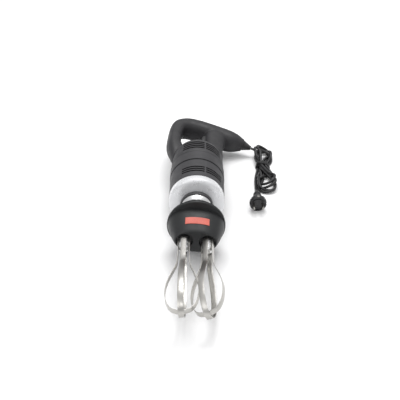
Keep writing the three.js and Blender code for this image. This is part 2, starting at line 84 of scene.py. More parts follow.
class Nodes:
    def __init__(self, name):
        self.mat = bpy.data.materials.new(name)
        self.mat.use_nodes = True
        self.nt = self.mat.node_tree
        self.nt.nodes.clear()
        self.out = self.nt.nodes.new("ShaderNodeOutputMaterial")
        self.bsdf = self.nt.nodes.new("ShaderNodeBsdfPrincipled")
        self.nt.links.new(self.bsdf.outputs[0], self.out.inputs[0])
        self.coord = self.nt.nodes.new("ShaderNodeTexCoord").outputs["Object"]

    def new(self, kind, **inputs):
        n = self.nt.nodes.new(kind)
        for key, value in inputs.items():
            if key in n.inputs:
                n.inputs[key].default_value = value
            else:
                setattr(n, key, value)
        return n

    def link(self, a, b):
        self.nt.links.new(a, b)

    def noise(self, scale, detail=3.0, rough=0.5, stretch=None, vector=None):
        n = self.new("ShaderNodeTexNoise", Scale=scale, Detail=detail, Roughness=rough)
        src = vector or self.coord
        if stretch:
            m = self.new("ShaderNodeMapping")
            m.inputs["Scale"].default_value = stretch
            self.link(src, m.inputs["Vector"])
            src = m.outputs[0]
        self.link(src, n.inputs["Vector"])
        return n.outputs["Fac"]

    def ramp(self, fac, stops):
        r = self.new("ShaderNodeValToRGB")
        el = r.color_ramp.elements
        while len(el) < len(stops):
            el.new(0.5)
        for e, (p, c) in zip(el, stops):
            e.position = p
            e.color = (*c, 1) if len(c) == 3 else c
        self.link(fac, r.inputs[0])
        return r.outputs[0]

    def range(self, fac, a, b, lo=0.3, hi=0.7):
        m = self.new("ShaderNodeMapRange")
        m.inputs["From Min"].default_value = lo
        m.inputs["From Max"].default_value = hi
        m.inputs["To Min"].default_value = a
        m.inputs["To Max"].default_value = b
        self.link(fac, m.inputs[0])
        return m.outputs[0]

    def mix(self, a, b, fac, mode="MIX"):
        m = self.new("ShaderNodeMix", data_type="RGBA", blend_type=mode)
        for sock, v in ((m.inputs[6], a), (m.inputs[7], b)):
            if isinstance(v, tuple):
                sock.default_value = (*v, 1)
            else:
                self.link(v, sock)
        if isinstance(fac, (int, float)):
            m.inputs[0].default_value = fac
        else:
            self.link(fac, m.inputs[0])
        return m.outputs[2]

    def bump(self, *layers):
        last = None
        for height, strength, distance in layers:
            b = self.new("ShaderNodeBump")
            b.inputs["Strength"].default_value = strength
            b.inputs["Distance"].default_value = distance
            self.link(height, b.inputs["Height"])
            if last:
                self.link(last, b.inputs["Normal"])
            last = b.outputs[0]
        self.link(last, self.bsdf.inputs["Normal"])

    def edge_wear(self):
        g = self.new("ShaderNodeNewGeometry")
        return self.range(g.outputs["Pointiness"], 0.0, 1.0, 0.505, 0.56)


def plastic(name, dark, light, rough, grain=1300, grain_mm=0.03, wear=0.35, spec=0.5, painted_shade_radii=None):
    """painted_shade_radii: radii about the motor's axis, in metres, below which grooves and vent slots get painted
    shade, near black; the rear taper is left unshaded.
    """
    n = Nodes(name)
    broad = n.noise(28, 3)
    fine = n.noise(grain, 2)
    base = n.ramp(broad, [(0.3, dark), (0.7, light)])
    speck = n.ramp(fine, [(0.45, (0.86, 0.86, 0.86)), (0.62, (1.12, 1.12, 1.12))])
    col = n.mix(base, speck, 1.0, "MULTIPLY")
    worn = tuple(min(1, c * 1.9 + 0.01) for c in light)
    col = n.mix(col, worn, n.range(n.edge_wear(), 0, wear, 0, 1))
    if painted_shade_radii:
        off = n.new("ShaderNodeVectorMath", operation="SUBTRACT")
        n.link(n.coord, off.inputs[0])
        off.inputs[1].default_value = (SX, 0, AXIS_Z)
        flat = n.new("ShaderNodeVectorMath", operation="MULTIPLY")
        n.link(off.outputs[0], flat.inputs[0])
        flat.inputs[1].default_value = (1, 0, 1)
        size = n.new("ShaderNodeVectorMath", operation="LENGTH")
        n.link(flat.outputs[0], size.inputs[0])
        along = n.new("ShaderNodeSeparateXYZ")
        n.link(off.outputs[0], along.inputs[0])
        unshaded = n.new("ShaderNodeMath", operation="MAXIMUM")
        n.link(n.range(size.outputs["Value"], 0, 1, *painted_shade_radii), unshaded.inputs[0])
        n.link(n.range(along.outputs["Y"], 0, 1, SY + 0.062, SY + 0.066), unshaded.inputs[1])
        # painted shade: grooves and vent slots below the radii are mixed to near black
        col = n.mix((0.0012, 0.0012, 0.0013), col, unshaded.outputs[0])
    n.link(col, n.bsdf.inputs["Base Color"])
    n.link(n.range(n.noise(60, 4), rough - 0.07, rough + 0.07), n.bsdf.inputs["Roughness"])
    n.bsdf.inputs["Specular IOR Level"].default_value = spec
    n.bump((fine, 0.5, grain_mm * MM), (n.noise(9, 2), 0.25, 0.4 * MM))
    return n.mat


def metal(name, colour, rough, brushed=None, blast=None, tint=0.05, scratch=0.25, metallic=1.0, smear=0.08, pit=0.18):
    n = Nodes(name)
    broad = n.noise(22, 3)
    lo = tuple(max(0, c - tint) for c in colour)
    hi = tuple(min(1, c + tint) for c in colour)
    col = n.ramp(broad, [(0.3, lo), (0.7, hi)])
    layers = []
    if brushed:
        lines = n.noise(1.0, 4, 0.6, stretch=brushed)
        col = n.mix(col, n.ramp(lines, [(0.3, (0.86, 0.86, 0.86)), (0.7, (1.06, 1.06, 1.06))]), 1.0, "MULTIPLY")
        layers.append((lines, 0.18, 0.02 * MM))
    if blast:
        pits = n.noise(blast, 3, 0.6)
        col = n.mix(col, n.ramp(pits, [(0.35, (1 - pit, 1 - pit, 1.01 - pit)), (0.62, (1 + 0.28 * pit,) * 3)]), 1.0, "MULTIPLY")
        layers.append((pits, 1.94 * pit, 0.05 * MM))
    n.link(col, n.bsdf.inputs["Base Color"])
    n.bsdf.inputs["Metallic"].default_value = metallic
    n.link(n.range(n.noise(45, 5, 0.62), max(0.05, rough - smear), rough + smear), n.bsdf.inputs["Roughness"])
    layers.append((n.noise(300, 4, 0.6, stretch=(1, 0.15, 1)), scratch * 0.3, 0.01 * MM))
    n.bump(*layers)
    return n.mat


def rubber(name, dark, light, rough=0.62, ribs=None):
    n = Nodes(name)
    fine = n.noise(1700, 2)
    col = n.mix(n.ramp(n.noise(40, 4), [(0.3, dark), (0.7, light)]),
                n.ramp(n.noise(420, 3), [(0.4, (0.85, 0.85, 0.85)), (0.7, (1.2, 1.2, 1.2))]), 1.0, "MULTIPLY")
    n.link(col, n.bsdf.inputs["Base Color"])
    n.link(n.range(n.noise(90, 3), rough - 0.1, rough + 0.08), n.bsdf.inputs["Roughness"])
    n.bump((fine, 0.4, 0.04 * MM))
    return n.mat


M = {
    "body_black": plastic("body_black", (0.0138, 0.0134, 0.0152), (0.0212, 0.0206, 0.0232), 0.56),
    # the casing's grooves and vent slots are painted near black below these radii, as painted shade
    "casing_black": plastic("casing_black", (0.0160, 0.0156, 0.0175), (0.0245, 0.0238, 0.0268), 0.56, painted_shade_radii=(0.0568, 0.0574)),
    "trigger_black": plastic("trigger_black", (0.012, 0.012, 0.013), (0.018, 0.018, 0.019), 0.42, grain=2200, grain_mm=0.01),
    "collar_grey": plastic("collar_grey", (0.028, 0.028, 0.030), (0.040, 0.040, 0.042), 0.42, grain=1600, grain_mm=0.015),
    "gearbox_grey": plastic("gearbox_grey", (0.0150, 0.0158, 0.0166), (0.0205, 0.0216, 0.0226), 0.46, grain=1500, grain_mm=0.014, spec=0.34),
    "satin_aluminium": metal("satin_aluminium", (0.76, 0.765, 0.775), 0.28, blast=1400, tint=0.012, metallic=0.3, smear=0.03, pit=0.05),
    "turned_steel": metal("turned_steel", (0.86, 0.86, 0.86), 0.34, brushed=(40, 2600, 40)),
    "whisk_steel": metal("whisk_steel", (0.50, 0.49, 0.465), 0.33, brushed=(900, 60, 900), tint=0.03, smear=0.03),
    "lamination": metal("lamination", (0.30, 0.30, 0.31), 0.45, brushed=(20, 3000, 20)),
    "gear_steel": metal("gear_steel", (0.45, 0.45, 0.46), 0.32, brushed=(60, 900, 60)),
    "copper": metal("copper", (0.62, 0.27, 0.13), 0.34, brushed=(200, 2600, 200)),
    "brass": metal("brass", (0.72, 0.56, 0.28), 0.28, brushed=(300, 300, 300)),
    "carbon": plastic("carbon", (0.012, 0.012, 0.012), (0.022, 0.022, 0.022), 0.7),
    "fan_polymer": plastic("fan_polymer", (0.60, 0.57, 0.50), (0.70, 0.67, 0.60), 0.5),
    "board_green": plastic("board_green", (0.02, 0.12, 0.05), (0.03, 0.17, 0.07), 0.5),
    "label_red": plastic("label_red", (0.54, 0.095, 0.065), (0.66, 0.14, 0.10), 0.45, grain=1800, grain_mm=0.01, wear=0.1),
    "seal_black": rubber("seal_black", (0.010, 0.010, 0.010), (0.018, 0.018, 0.018)),
    "cord_black": rubber("cord_black", (0.0075, 0.0075, 0.0085), (0.015, 0.0145, 0.016), 0.46),
    "plug_black": plastic("plug_black", (0.009, 0.009, 0.010), (0.016, 0.0156, 0.017), 0.42, grain=1500, grain_mm=0.02),
    "pin_nickel": metal("pin_nickel", (0.34, 0.33, 0.31), 0.3, brushed=(900, 60, 900)),
}

# ------------------------------------------------------------------ mesh helpers


def make(name, verts, faces, matrix, mat, body, node=None, slot=None, bevel=0.0, segments=2, sharp=32, angle=30):
    mesh = bpy.data.meshes.new(name)
    mesh.from_pydata([tuple(matrix @ Vector(v)) for v in verts], [], faces)
    return finish_piece(name, mesh, mat, body, node, slot, bevel, segments, sharp, angle)


def tidy(mesh):
    bm = bmesh.new()
    bm.from_mesh(mesh)
    bmesh.ops.remove_doubles(bm, verts=bm.verts, dist=1e-6)
    bmesh.ops.dissolve_degenerate(bm, edges=bm.edges, dist=1e-7)
    bmesh.ops.recalc_face_normals(bm, faces=bm.faces)
    bm.to_mesh(mesh)
    bm.free()


def finish_piece(name, mesh, mat, body, node=None, slot=None, bevel=0.0, segments=2, sharp=32, angle=30):
    tidy(mesh)
    mesh.shade_smooth()
    mesh.set_sharp_from_angle(angle=math.radians(sharp))
    obj = bpy.data.objects.new(name, mesh)
    obj.data.materials.append(M[mat])
    scene.collection.objects.link(obj)
    if bevel:
        b = obj.modifiers.new("edge", "BEVEL")
        b.width = bevel * MM
        b.segments = segments
        b.limit_method = "ANGLE"
        b.angle_limit = math.radians(angle)
        b.harden_normals = False
    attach(obj, body)
    if node:
        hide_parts(*([node] if isinstance(node, str) else node))
    return obj


def turned(profile, seg=96, cx=0.0, cz=0.0):
    """closed [radius, y] profile turned about Y."""
    verts, faces, rows = [], [], []
    for r, y in profile:
        if r < 1e-6:
            rows.append([len(verts)])
            verts.append((cx, y, cz))
        else:
            start = len(verts)
            for k in range(seg):
                a = 2 * math.pi * k / seg
                verts.append((cx + r * math.cos(a), y, cz + r * math.sin(a)))
            rows.append(list(range(start, start + seg)))
    closed = not (profile[0][0] < 1e-6 and profile[-1][0] < 1e-6)
    pairs = list(zip(rows, rows[1:])) + ([(rows[-1], rows[0])] if closed else [])
    for a, b in pairs:
        for k in range(seg):
            k2 = (k + 1) % seg
            if len(a) == 1 and len(b) == 1:
                continue
            if len(a) == 1:
                faces.append((a[0], b[k], b[k2]))
            elif len(b) == 1:
                faces.append((a[k], b[0], a[k2]))
            else:
                faces.append((a[k], b[k], b[k2], a[k2]))
    return verts, faces


def boxed(x0, x1, y0, y1, z0, z1):
    v = [(x, y, z) for x in (x0, x1) for y in (y0, y1) for z in (z0, z1)]
    f = [(0, 1, 3, 2), (4, 6, 7, 5), (0, 4, 5, 1), (2, 3, 7, 6), (0, 2, 6, 4), (1, 5, 7, 3)]
    return v, f


def catmull(points, per=8):
    """centripetal Catmull-Rom through points (any dimension)."""
    p = np.array(points, float)
    ext = np.vstack([2 * p[0] - p[1], p, 2 * p[-1] - p[-2]])
    out = []
    for i in range(1, len(ext) - 2):
        p0, p1, p2, p3 = ext[i - 1:i + 3]
        t0 = 0.0
        t1 = t0 + max(np.linalg.norm(p1 - p0), 1e-9) ** 0.5
        t2 = t1 + max(np.linalg.norm(p2 - p1), 1e-9) ** 0.5
        t3 = t2 + max(np.linalg.norm(p3 - p2), 1e-9) ** 0.5
        for t in np.linspace(t1, t2, per, endpoint=False):
            a1 = (t1 - t) / (t1 - t0) * p0 + (t - t0) / (t1 - t0) * p1
            a2 = (t2 - t) / (t2 - t1) * p1 + (t - t1) / (t2 - t1) * p2
            a3 = (t3 - t) / (t3 - t2) * p2 + (t - t2) / (t3 - t2) * p3
            b1 = (t2 - t) / (t2 - t0) * a1 + (t - t0) / (t2 - t0) * a2
            b2 = (t3 - t) / (t3 - t1) * a2 + (t - t1) / (t3 - t1) * a3
            out.append((t2 - t) / (t2 - t1) * b1 + (t - t1) / (t2 - t1) * b2)
    out.append(p[-1])
    return np.array(out)


def resample(p, step):
    seg = np.linalg.norm(np.diff(p, axis=0), axis=1)
    s = np.concatenate([[0], np.cumsum(seg)])
    n = max(2, int(round(s[-1] / step)) + 1)
    t = np.linspace(0, s[-1], n)
    return np.stack([np.interp(t, s, p[:, k]) for k in range(p.shape[1])], axis=1)


def super_ring(c, a, b, ra, rb, n, power):
    e = 2 / power
    out = []
    for k in range(n):
        t = 2 * math.pi * k / n
        ca, sa = math.cos(t), math.sin(t)
        x = math.copysign(abs(ca) ** e, ca) * ra
        y = math.copysign(abs(sa) ** e, sa) * rb
        out.append(tuple(c[i] + a[i] * x + b[i] * y for i in range(3)))
    return out


def skin(rings, caps=True):
    verts, faces, n = [], [], len(rings[0])
    for r in rings:
        verts.extend(r)
    for i in range(len(rings) - 1):
        for k in range(n):
            k2 = (k + 1) % n
            faces.append((i * n + k, (i + 1) * n + k, (i + 1) * n + k2, i * n + k2))
    if caps:
        faces.append(tuple(range(n)))
        faces.append(tuple(range((len(rings) - 1) * n, len(rings) * n)))
    return verts, faces


def temp(name, verts, faces):
    mesh = bpy.data.meshes.new(name)
    mesh.from_pydata([tuple(v) for v in verts], [], faces)
    tidy(mesh)
    obj = bpy.data.objects.new(name, mesh)
    scene.collection.objects.link(obj)
    return obj


def evaluated(obj):
    dg = bpy.context.evaluated_depsgraph_get()
    dg.update()
    return bpy.data.meshes.new_from_object(obj.evaluated_get(dg))


def drop(*objs):
    for o in objs:
        bpy.data.objects.remove(o, do_unlink=True)


def cut(obj, cutters, operation="DIFFERENCE", solver="EXACT"):
    """boolean in millimetres on temporary objects; returns the object with its new mesh."""
    for c in cutters:
        m = obj.modifiers.new("cut", "BOOLEAN")
        m.operation = operation
        m.solver = solver
        m.object = c
    new = evaluated(obj)
    obj.modifiers.clear()
    obj.data = new
    drop(*cutters)
    return obj


def floor_cut(obj, matrix, height=0.0):
    """takes off whatever of a temporary object would lie under the counter, and closes the cut."""
    back_ = matrix.inverted()
    co = back_ @ Vector((0, 0, height))
    no = (matrix.to_3x3().transposed() @ Vector((0, 0, 1))).normalized()
    bm = bmesh.new()
    bm.from_mesh(obj.data)
    bmesh.ops.bisect_plane(bm, geom=bm.verts[:] + bm.edges[:] + bm.faces[:], dist=1e-5, plane_co=co, plane_no=no, clear_inner=True)
    rim = [e for e in bm.edges if e.is_boundary]
    if rim:
        bmesh.ops.triangle_fill(bm, use_beauty=True, use_dissolve=False, edges=rim)
    bm.to_mesh(obj.data)
    bm.free()


def piece_from(obj, name, matrix, *args, **kw):
    mesh = obj.data.copy()
    mesh.transform(matrix)
    drop(obj)
    return finish_piece(name, mesh, *args, **kw)


# ------------------------------------------------------------------ cord
CORD_D = 6.0
R = CORD_D / 2
TAIL = (112.0, 201.0)
boot_dir = Vector((21.7, -5.5, 0)).normalized()


def on_boot(s):
    """point on the strain relief's axis, in millimetres of the counter frame."""
    u, y = TAIL[0] + boot_dir.x * s, TAIL[1] + boot_dir.y * s
    c, k = math.cos(math.radians(15)), math.sin(math.radians(15))
    return np.array([u * c, y, 57.2 - u * k])


E0 = on_boot(23.3)
E1 = on_boot(30)
WAIST = 137.0
FOLD = 18.6
# four turns: each goes down on the right, folds, comes up on the left, crosses at the waist and folds again at the top
LOWER = [(150.5, 42, 26.0), (143.0, 25, 31.0), (156.5, 60, 35.0), (147.0, 50, 41.0)]       # left side x, lean in degrees, end y
UPPER = [(170.0, 58, 218.0), (178.0, 32, 205.0), (165.5, 50, 211.0), (174.5, 42, 198.0)]   # right side x, lean, end y
DOWN = [(150.5, 8.4), (156.5, 8.4), (162.5, 8.4), (153.5, 13.6), (142.5, 3.2)]             # x and z at the waist
UP = [(149.0, 3.2), (155.0, 3.2), (161.0, 3.2), (167.0, 4.2)]
HIGHEST = 23.0


def between(p, q, cy, t, from_fold):
    e = t * t * (3 - 2 * t)
    y = cy + (WAIST - cy) * (0.05 + 0.95 * t) if from_fold else WAIST + (cy - WAIST) * 0.95 * t
    return (p[0] + (q[0] - p[0]) * e, y, p[1] + (q[1] - p[1]) * e)


def wound_cord():
    """the cord's centre line: a wound route that is then let settle under its own weight, stiffness and contact."""
    route = [tuple(E0), tuple(E1), (143.4, 190.6, 17.6), (149.4, 185.0, 14.4), (152.8, 177.0, 11.6), (153.4, 166.0, 9.6), (152.4, 152.0, 8.6),
             (DOWN[0][0], WAIST, DOWN[0][1])]
    for k in range(4):
        xl, lean, end = LOWER[k]
        c, s = FOLD * math.cos(math.radians(lean)), FOLD * math.sin(math.radians(lean))
        cy = end + FOLD
        left, right = (xl, R), (xl + 2 * c, R + 2 * s)
        route += [between(DOWN[k], right, cy, t, False) for t in (0.3, 0.6, 0.85)]
        for i in range(9):
            a = math.pi * i / 8
            route.append((xl + c + c * math.cos(a), cy - FOLD * math.sin(a), R + s + s * math.cos(a)))
        route += [between(left, UP[k], cy, t, True) for t in (0.15, 0.4, 0.7)] + [(UP[k][0], WAIST, UP[k][1])]
        xr, lean, end = UPPER[k]
        c, s = FOLD * math.cos(math.radians(lean)), FOLD * math.sin(math.radians(lean))
        cy = end - FOLD
        left, right = (xr - 2 * c, R + 2 * s), (xr, R)
        route += [between(UP[k], right, cy, t, False) for t in (0.35, 0.65)]
        for i in range(9):
            a = math.pi * i / 8
            route.append((xr - c + c * math.cos(a), cy + FOLD * math.sin(a), R + s - s * math.cos(a)))
        route += [between(left, DOWN[k + 1], cy, t, True) for t in (0.35, 0.65)] + [(DOWN[k + 1][0], WAIST, DOWN[k + 1][1])]
    route += [(139.4, 118, 3), (137.2, 100, 3), (135.8, 80, 3), (135.0, 60, 3.2), (134.4, 40, 6), (133.6, 22, 12), (133.1, 8.0, 17.3), (133.0, -1.6, 18.7)]
    p = resample(catmull(route, 8), 4.0)
    n = len(p)
    step = float(np.linalg.norm(np.diff(p, axis=0), axis=1).mean())
    held_at = p.copy()
    idx = np.arange(n)
    held = (idx < 7) | (idx > n - 5)
    loose = (idx > 12) & (idx < n - 40)
    first, second = np.where(np.triu(np.abs(idx[:, None] - idx[None, :]) * step > 3.2 * CORD_D))
    rounds, reach, bend = 900, CORD_D + 0.1, 21.5
    for turn in range(rounds):
        p[:, 2] -= 0.02 if turn < rounds * 0.75 else 0.005
        at_waist = (np.abs(p[:, 1] - WAIST) < 9) & (np.abs(p[:, 0] - 156) > 12.5)
        p[at_waist, 0] += 0.06 * (156 - p[at_waist, 0])
        wall = np.interp(p[:, 1], [0, 100, 150, 220], [178.0, 178.0, 178.6, 178.6])
        p[:, 0] -= 0.5 * np.maximum(p[:, 0] - wall, 0)
        p[:, 0] += np.where(loose, 0.5 * np.maximum(141.2 - p[:, 0], 0), 0)
        for k in (2, 3, 4, 6):                      # no fold tighter than the cord allows
            chord = 2 * bend * math.sin(k * step / bend)
            v = p[2 * k:] - p[:-2 * k]
            d = np.linalg.norm(v, axis=1)
            push = v * (np.maximum(chord - d, 0) * 0.24 / d)[:, None]
            p[2 * k:] += push
            p[:-2 * k] -= push
        lap = np.zeros_like(p)
        lap[1:-1] = (p[2:] + p[:-2]) / 2 - p[1:-1]
        rough = np.zeros_like(p)
        rough[1:-1] = (lap[2:] + lap[:-2]) / 2 - lap[1:-1]
        p -= 0.35 * rough
        v = p[second] - p[first]                  # strands rest on each other
        d2 = np.einsum("ij,ij->i", v, v)
        hit = d2 < reach ** 2
        if hit.any():
            i, j = first[hit], second[hit]
            d = np.sqrt(d2[hit]) + 1e-6
            push = v[hit] * ((reach - d) * 0.275 / d)[:, None]
            moved, count = np.zeros_like(p), np.zeros(n)
            np.add.at(moved, j, push)
            np.add.at(moved, i, -push)
            np.add.at(count, i, 1)
            np.add.at(count, j, 1)
            p += moved / np.maximum(1, count * 0.6)[:, None]
        p[:, 2] -= 0.3 * np.maximum(p[:, 2] - HIGHEST, 0)
        p[:, 2] = np.maximum(p[:, 2], R)
        p[held] = held_at[held]
        for _ in range(3):                        # the cord keeps its length
            for odd in (0, 1):
                a = np.arange(odd, n - 1, 2)
                v = p[a + 1] - p[a]
                fix = v * (0.5 - 0.5 * step / np.linalg.norm(v, axis=1))[:, None]
                p[a] += fix
                p[a + 1] -= fix
            p[held] = held_at[held]
        p[:, 2] = np.maximum(p[:, 2], R)
    return resample(catmull(p, 4), 9.0)


line = wound_cord()
cord_curve = bpy.data.curves.new("mains_cord", "CURVE")
cord_curve.dimensions = "3D"
cord_curve.bevel_depth = R * MM
cord_curve.bevel_resolution = 6
cord_curve.resolution_u = 3
cord_curve.use_fill_caps = True
sp = cord_curve.splines.new("BEZIER")
sp.bezier_points.add(len(line) - 1)
for bp, p in zip(sp.bezier_points, line):
    bp.co = at(WORLD, *p)
    bp.handle_left_type = bp.handle_right_type = "AUTO"
cord = bpy.data.objects.new("mains_cord", cord_curve)
cord.data.materials.append(M["cord_black"])
scene.collection.objects.link(cord)
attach(cord, "power_unit")
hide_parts("cord_lead", "cord_hank", "cord_plug_lead")
at_tie = line[np.abs(line[:, 1] - WAIST) < 12]
WAIST_TOP = float(at_tie[:, 2].max()) + R
WAIST_X = (float(at_tie[:, 0].min()) - R, float(at_tie[:, 0].max()) + R)
print("waist top", round(WAIST_TOP, 1), "sides", WAIST_X)

# ------------------------------------------------------------------ plug
PX, PZ = 133.0, 18.7
prof = [(0, -43), (12.0, -43), (12.0, -41.5), (14.4, -41.5), (14.4, -43), (17.4, -43), (18.4, -42), (18.5, -35), (17.6, -32.4),
        (16.2, -31.6), (13.4, -26.5), (11.2, -22), (9.8, -18), (9.3, -15.5)]
y = -15.5
while y < -4.5:
    prof += [(9.2 - 0.1 * (y + 15.5), y), (9.2 - 0.1 * (y + 15.5), y + 1.7), (7.6 - 0.08 * (y + 15.5), y + 2.1), (7.6 - 0.08 * (y + 15.5), y + 2.8)]
    y += 3.1
prof += [(6.4, -2.0), (3.5, -2.0), (3.4, -4.5), (0, -4.5)]
v, f = turned(prof, 72)
plug = temp("plug_tmp", v, f)
grips = []
for a in range(0, 360, 30):
    if a % 90 == 0:
        continue
    v, f = boxed(16.7, 20, -41.2, -30, -1.9, 1.9)
    g = temp("grip_tmp", v, f)
    g.data.transform(Matrix.Rotation(math.radians(a), 4, "Y"))
    grips.append(g)
for sgn in (-1, 1):          # side notches and earth clips of a round two-pin plug
    v, f = boxed(15.6, 20, -44, -36, -2.6, 2.6)
    g = temp("notch_tmp", v, f)
    g.data.transform(Matrix.Rotation(math.radians(0 if sgn > 0 else 180), 4, "Y"))
    grips.append(g)
cut(plug, grips)
plug = piece_from(plug, "mains_plug", Matrix.Translation((SX, SY, 0)) @ SCALE @ Matrix.Translation((PX, 0, PZ)), "plug_black", "power_unit", "plug_body", bevel=0.35)
for side, sgn in (("left", -1), ("right", 1)):
    v, f = turned([(0, -62), (1.2, -61.9), (2.1, -61.2), (2.4, -60), (2.4, -53), (2.15, -52.6), (2.15, -43.2), (0, -43.2)], 32)
    make(f"mains_pin_{side}", v, f, Matrix.Translation((SX, SY, 0)) @ SCALE @ Matrix.Translation((PX + sgn * 9.5, 0, PZ)),
                     "pin_nickel", "power_unit", f"plug_pin_{side}", slot="brass")
for side, sgn in (("top", 1), ("bottom", -1)):
    v, f = boxed(-2.2, 2.2, -42.2, -34, 17.2, 18.45)
    c = make(f"earth_clip_{side}", v, f, Matrix.Translation((SX, SY, 0)) @ SCALE @ Matrix.Translation((PX, 0, PZ)) @ Matrix.Rotation(0 if sgn > 0 else math.pi, 4, "Y"),
             "pin_nickel", "power_unit", slot="brass", bevel=0.3)

# a soft tie of three loops round the waist of the hank
tie_rings = []
TIE_R = 1.3


def snug(y0):
    """closed loop drawn tight round every strand that passes y0."""
    dots = []
    for x, yy, zz in line[np.abs(line[:, 1] - y0) < 6.5]:
        for k in range(16):
            a = 2 * math.pi * k / 16
            dots.append((x + (R + TIE_R * 0.8) * math.cos(a), zz + (R + TIE_R * 0.8) * math.sin(a)))
    dots = sorted(set(dots))

    def chain(points):
        out = []
        for q in points:
            while len(out) > 1 and (out[-1][0] - out[-2][0]) * (q[1] - out[-2][1]) - (out[-1][1] - out[-2][1]) * (q[0] - out[-2][0]) <= 0:
                out.pop()
            out.append(q)
        return out[:-1]
    hull = np.array(chain(dots) + chain(dots[::-1]))
    loop = resample(np.vstack([hull, hull[:1]]), 3.2)[:-1]
    return [(x, y0, max(zz, TIE_R + 0.1)) for x, zz in loop]


for y0 in (WAIST - 2.9, WAIST, WAIST + 2.9):
    pts = snug(y0)
    tie_rings.append(pts + [pts[0]])
for i, pts in enumerate(tie_rings):
    cu = bpy.data.curves.new(f"hank_tie_{i + 1}", "CURVE")
    cu.dimensions = "3D"
    cu.bevel_depth = TIE_R * MM
    cu.bevel_resolution = 3
    s2 = cu.splines.new("BEZIER")
    s2.bezier_points.add(len(pts) - 2)
    s2.use_cyclic_u = True
    for bp, p in zip(s2.bezier_points, pts[:-1]):
        bp.co = at(WORLD, *p)
        bp.handle_left_type = bp.handle_right_type = "AUTO"
    t = bpy.data.objects.new(cu.name, cu)
    t.data.materials.append(M["cord_black"])
    scene.collection.objects.link(t)
    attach(t, "power_unit")

# strain relief: ribbed tapering boot
boot = []
taper = [(1.9, 12.7), (6.5, 11.2), (11, 9.3), (16, 7.4), (23, 4.9)]
boot_profile = [(-9, 7.8), (1.5, 7.8), (1.6, 12.4), (1.9, 12.7)]
for i in range(61):
    s_b = 2.8 + 19.9 * i / 60
    r_b = float(np.interp(s_b, [q[0] for q in taper], [q[1] for q in taper]))
    if s_b > 6.0:
        r_b -= 0.55 * (0.5 - 0.5 * math.cos(2 * math.pi * (s_b - 6.0) / 2.8)) ** 2
    boot_profile.append((s_b, r_b))
boot_profile += [(22.9, 4.6), (23.0, 4.2)]
for s_b, r_b in boot_profile:
    c = Vector((TAIL[0], TAIL[1], 0)) + boot_dir * s_b
    boot.append(super_ring(c, (-boot_dir.y, boot_dir.x, 0), (0, 0, 1), r_b, r_b, 44, 2.0))
v, f = skin(boot)
strain = make("strain_relief_boot", v, f, BODY, "cord_black", "power_unit", "cord_strain_relief", sharp=50)

# ------------------------------------------------------------------ motor casing
v, f = turned([
    (53.8, -80), (57.8, -80), (58.3, -79.4), (58.3, -16.2), (57.9, -15.5), (57.0, -15.0), (56.8, -14.6), (56.8, -13.4), (57.0, -13.0), (58.7, -12.7), (59.2, -12.0),
    (59.2, 18.0), (58.8, 18.7), (57.0, 19.0), (56.8, 19.4), (56.8, 20.6), (57.0, 21.0), (57.8, 21.4), (58.1, 22.4), (57.9, 45), (57.4, 62), (56.6, 69), (55.2, 73.6), (53.0, 76.6),
    (50.6, 77.9), (47.5, 78.0), (47.0, 77.4), (47.0, 74.8), (50.8, 72), (53.8, 68)], 144)
casing = temp("casing_tmp", v, f)
cutters = []
for yc in (-61, -53, -45, 37, 45, 53, 61):
    for a0, a1 in ((-48, 2), (4, 46)):
        half = math.radians((a1 - a0) / 2)
        n = 14
        outline = []
        hw, hh = half, 2.4
        er = 2.0 / 56.0     # rounded slot ends
        for i in range(n + 1):
            outline.append((-hw + er + (2 * hw - 2 * er) * i / n, hh))
        for i in range(1, 6):
            t = math.pi / 2 - math.pi * i / 6
            outline.append((hw - er + er * math.cos(t), hh * math.sin(t)))
        for i in range(n + 1):
            outline.append((hw - er - (2 * hw - 2 * er) * i / n, -hh))
        for i in range(1, 6):
            t = -math.pi / 2 - math.pi * i / 6
            outline.append((-hw + er + er * math.cos(t), hh * math.sin(t)))
        mid = math.radians((a0 + a1) / 2)
        vs, m = [], len(outline)
        for rr in (48.0, 74.0):
            for a, dy in outline:
                vs.append((rr * math.sin(mid + a), yc + dy, rr * math.cos(mid + a)))
        fs = [tuple(range(m)), tuple(range(m, 2 * m))] + [(i, (i + 1) % m, m + (i + 1) % m, m + i) for i in range(m)]
        cutters.append((vs, fs))
allv, allf = [], []
for vs, fs in cutters:
    o = len(allv)
    allv += vs
    allf += [tuple(i + o for i in q) for q in fs]
cut(casing, [temp("slots_tmp", allv, allf)])
floor_cut(casing, BODY)
piece_from(casing, "motor_casing_shell", BODY, "casing_black", "power_unit", "motor_casing", slot="body_black", bevel=0.25, segments=2, sharp=28, angle=40)

v, f = turned([
    (57.9, -80.35), (58.1, -80.9), (58.1, -94.0), (57.8, -95.6), (56.9, -97.0), (55.0, -98.3), (51, -99.7), (46, -100.8), (41, -101.7), (36.5, -102.4), (33.5, -102.6),
    (13.3, -102.6), (13.3, -91), (17, -91), (17, -98.2), (44, -97.2), (51.5, -95.4), (53.6, -93), (53.6, -80.35)], 144)
housing = temp("housing_tmp", v, f)
floor_cut(housing, BODY)
piece_from(housing, "front_housing_shell", BODY, "satin_aluminium", "power_unit", "front_housing", bevel=0.3)
v, f = turned([(22, -102.9), (32.6, -102.9), (33.8, -103.2), (34.2, -104.2), (34.2, -110.8), (33.8, -111.6), (32.8, -112), (22, -112)], 120)
collar = temp("collar_tmp", v, f)
flutes = []
allv, allf = [], []
for k in range(30):
    vs, fs = turned([(0, -102), (0.9, -102), (0.9, -107.4), (0, -107.4)], 10, cx=34.55)
    a = 2 * math.pi * k / 30
    o = len(allv)
    allv += [(x * math.cos(a) + zz * math.sin(a), yy, -x * math.sin(a) + zz * math.cos(a)) for x, yy, zz in vs]
    allf += [tuple(i + o for i in q) for q in fs]
cut(collar, [temp("flutes_tmp", allv, allf)])
